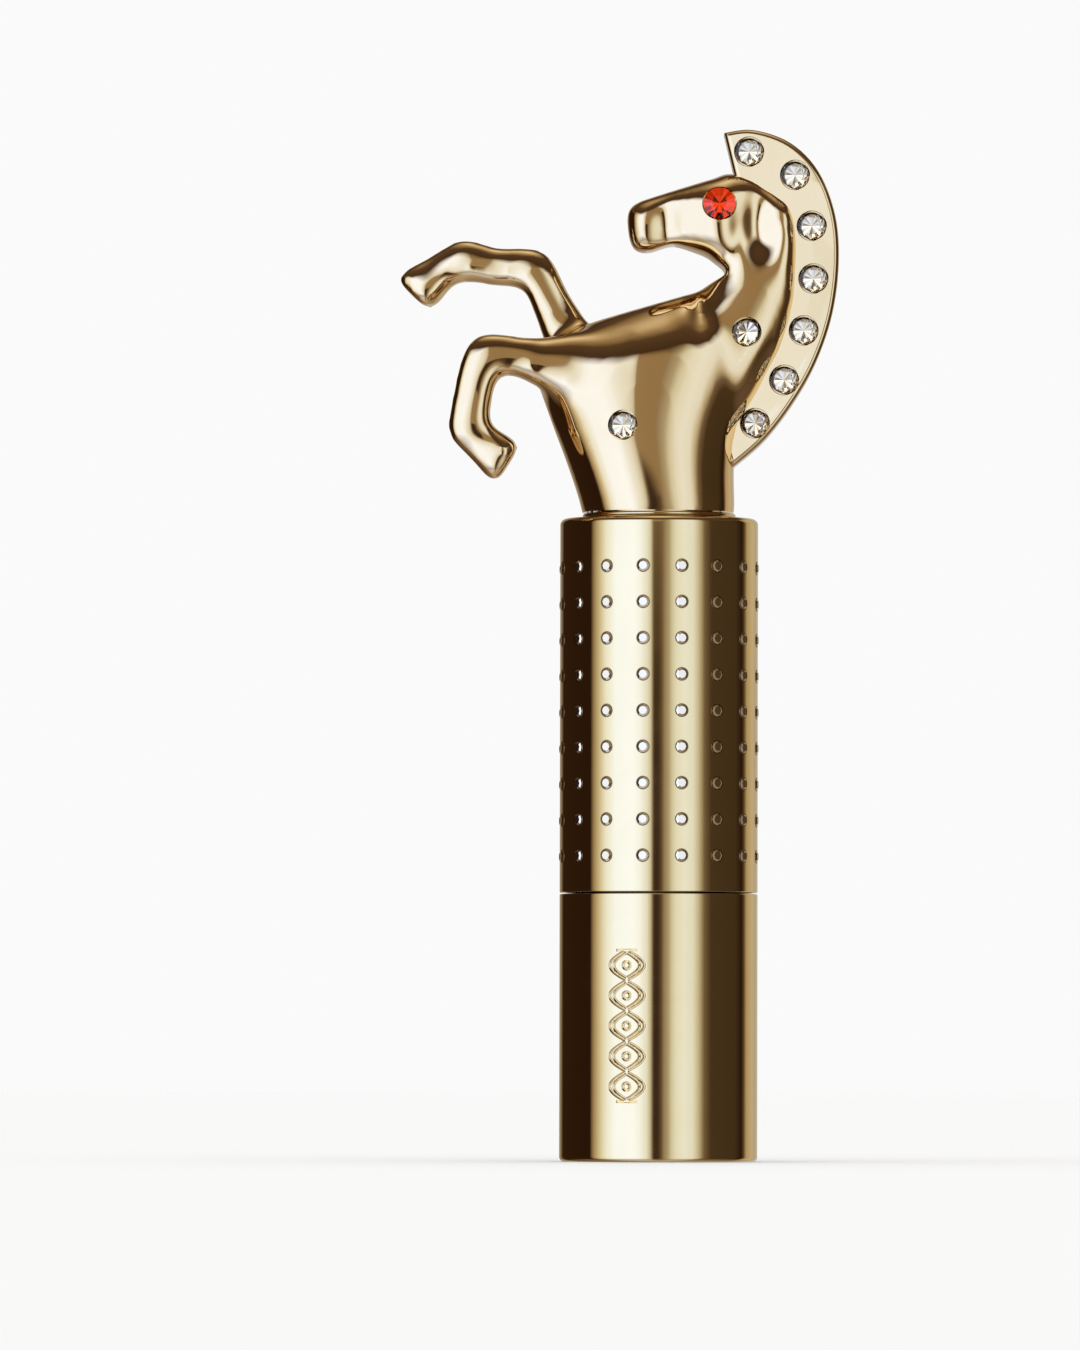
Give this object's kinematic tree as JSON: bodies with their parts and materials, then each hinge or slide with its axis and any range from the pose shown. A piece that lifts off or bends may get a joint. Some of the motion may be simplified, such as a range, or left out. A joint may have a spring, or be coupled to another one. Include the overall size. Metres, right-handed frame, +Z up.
{
  "type": "lipstick case",
  "caption": "Twist-up lipstick case with a plain gold base, a crystal-studded pull-off cap and a rearing horse finial with a stone-set crest.",
  "frame": {"origin": "centre of the base's flat foot", "axes": "+Z up the case's axis, the horse faces -X, its near flank faces -Y"},
  "size_m": [0.0496, 0.0226, 0.1173],
  "materials": {
    "gold": "polished gold anodising on drawn aluminium",
    "gold_casting": "polished gold plating on a zinc casting",
    "black_lacquer": "satin black lacquer on an aluminium tube",
    "lip_colour": "pearly wax colour that shifts from rose to olive gold",
    "moulded_plastic": "natural moulded plastic",
    "steel": "turned steel",
    "brass": "turned brass",
    "rubber": "matt black rubber",
    "label": "plain printed paper, no text",
    "crystal": "clear faceted crystal with a silvered back",
    "red_crystal": "orange-red faceted crystal with a silvered back"
  },
  "bodies": {
    "base": {"base_shell": "gold", "shade_label": "label", "base_weight": "steel", "base_liner": "moulded_plastic", "drag_ring": "rubber", "guide_tube": "moulded_plastic"},
    "sleeve": {"spiral_sleeve": "moulded_plastic", "black_sleeve": "black_lacquer"},
    "carrier": {"carrier_cup": "moulded_plastic", "bullet": "lip_colour"},
    "cap": {"cap_shell": "gold", "cap_liner": "moulded_plastic", "neck_ring": "gold", "lock_washer": "steel", "ring_nut": "brass", "locating_pin": "steel", "finial_horse": "gold_casting", "crest_stone_near_1": "crystal", "crest_stone_near_2": "crystal", "crest_stone_near_3": "crystal", "crest_stone_near_4": "crystal", "crest_stone_near_5": "crystal", "crest_stone_near_6": "crystal", "crest_stone_near_7": "crystal", "crest_stone_far_1": "crystal", "crest_stone_far_2": "crystal", "crest_stone_far_3": "crystal", "crest_stone_far_4": "crystal", "crest_stone_far_5": "crystal", "crest_stone_far_6": "crystal", "crest_stone_far_7": "crystal", "body_stone_near_8": "crystal", "body_stone_near_9": "crystal", "body_stone_far_8": "crystal", "body_stone_far_9": "crystal", "eye_stone_near_10": "red_crystal", "eye_stone_far_10": "red_crystal"}
  },
  "joints": [
    {"name": "sleeve_twist", "type": "hinge", "parent": "base", "child": "sleeve", "pos_m": [0, 0, 0.013], "axis": [0, 0, 1], "range_deg": [0, 540]},
    {"name": "carrier_lift", "type": "slide", "parent": "base", "child": "carrier", "axis": [0, 0, 1], "range_m": [0, 0.018]},
    {"name": "cap_pull", "type": "slide", "parent": "sleeve", "child": "cap", "axis": [0, 0, 1], "range_m": [0, 0.055]}
  ],
  "couplings": [
    {"joint": "carrier_lift", "follows": "sleeve_twist", "m_per_rad": 0.0019099}
  ]
}
